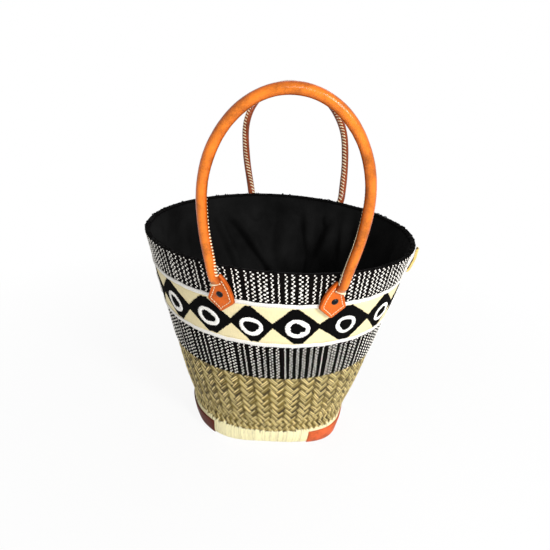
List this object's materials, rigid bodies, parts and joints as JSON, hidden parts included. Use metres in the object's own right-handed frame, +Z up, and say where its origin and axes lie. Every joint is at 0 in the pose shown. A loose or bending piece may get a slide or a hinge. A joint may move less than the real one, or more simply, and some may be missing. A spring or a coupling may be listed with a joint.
{
  "type": "embroidered basket",
  "caption": "Flared oval palm-leaf basket with striped cloth bands, a cream panel of embroidered diamonds and rings, black lining and swinging rolled leather handles.",
  "frame": {"origin": "middle of the flat base, on the surface that the basket stands on", "axes": "+Z up, X along the longer side of the mouth, -Y towards the front handle"},
  "size_m": [0.405, 0.5211, 0.5439],
  "materials": {
    "palm": "plaited palm leaf in a herringbone twill, satin",
    "black_lining": "plain black cotton, matt",
    "black_yarn": "black embroidery thread, soft sheen",
    "striped_cloth": "black woven cloth with vertical rows of white dashes",
    "white_yarn": "white cotton yarn, matt",
    "cream_raffia": "fine woven raffia cloth, satin",
    "foot_raffia": "raffia overcast stitching, satin",
    "foot_leather": "red-brown leather, worn at its edges",
    "tab_leather": "tan leather with white stitching",
    "handle_leather": "polished tan leather, rolled and whip-stitched",
    "rope": "twisted sisal rope",
    "seam_strip": "pale tan strip, satin",
    "rivet_metal": "burnished steel"
  },
  "bodies": {
    "basket": {"palm_basket": "palm", "lining_wall": "black_lining", "lining_base": "black_lining", "rim_overcast": "black_yarn", "upper_striped_band": "striped_cloth", "lower_striped_band": "striped_cloth", "upper_white_cord": "white_yarn", "lower_white_cord": "white_yarn", "embroidered_panel": "cream_raffia", "embroidered_diamonds": "black_yarn", "foot_binding": "foot_raffia", "side_seam_strip": "seam_strip", "embroidered_ring_01": "white_yarn", "embroidered_ring_02": "white_yarn", "embroidered_ring_03": "white_yarn", "embroidered_ring_04": "white_yarn", "embroidered_ring_05": "white_yarn", "embroidered_ring_06": "white_yarn", "embroidered_ring_07": "white_yarn", "embroidered_ring_08": "white_yarn", "embroidered_ring_09": "white_yarn", "embroidered_ring_10": "white_yarn", "embroidered_ring_11": "white_yarn", "embroidered_ring_12": "white_yarn", "embroidered_ring_13": "white_yarn", "embroidered_ring_14": "white_yarn", "embroidered_ring_15": "white_yarn", "embroidered_ring_16": "white_yarn", "embroidered_ring_17": "white_yarn", "foot_patch_front_left": "foot_leather", "foot_patch_front_right": "foot_leather", "foot_patch_rear_left": "foot_leather", "foot_patch_rear_right": "foot_leather", "front_left_tab": "tab_leather", "front_left_backing": "tab_leather", "front_left_rivet": "rivet_metal", "front_left_washer": "rivet_metal", "front_right_tab": "tab_leather", "front_right_backing": "tab_leather", "front_right_rivet": "rivet_metal", "front_right_washer": "rivet_metal", "rear_left_tab": "tab_leather", "rear_left_backing": "tab_leather", "rear_left_rivet": "rivet_metal", "rear_left_washer": "rivet_metal", "rear_right_tab": "tab_leather", "rear_right_backing": "tab_leather", "rear_right_rivet": "rivet_metal", "rear_right_washer": "rivet_metal"},
    "front_handle": {"front_handle_roll": "handle_leather", "front_handle_core": "rope"},
    "rear_handle": {"rear_handle_roll": "handle_leather", "rear_handle_core": "rope"}
  },
  "joints": [
    {"name": "front_handle_swing", "type": "hinge", "parent": "basket", "child": "front_handle", "pos_m": [0.00822, -0.17834, 0.328], "axis": [0.9993, 0.0377, 0], "range_deg": [-64, 76]},
    {"name": "rear_handle_swing", "type": "hinge", "parent": "basket", "child": "rear_handle", "pos_m": [0.01745, 0.17778, 0.328], "axis": [-0.9968, 0.0802, 0], "range_deg": [-78.7, 61.3]}
  ]
}
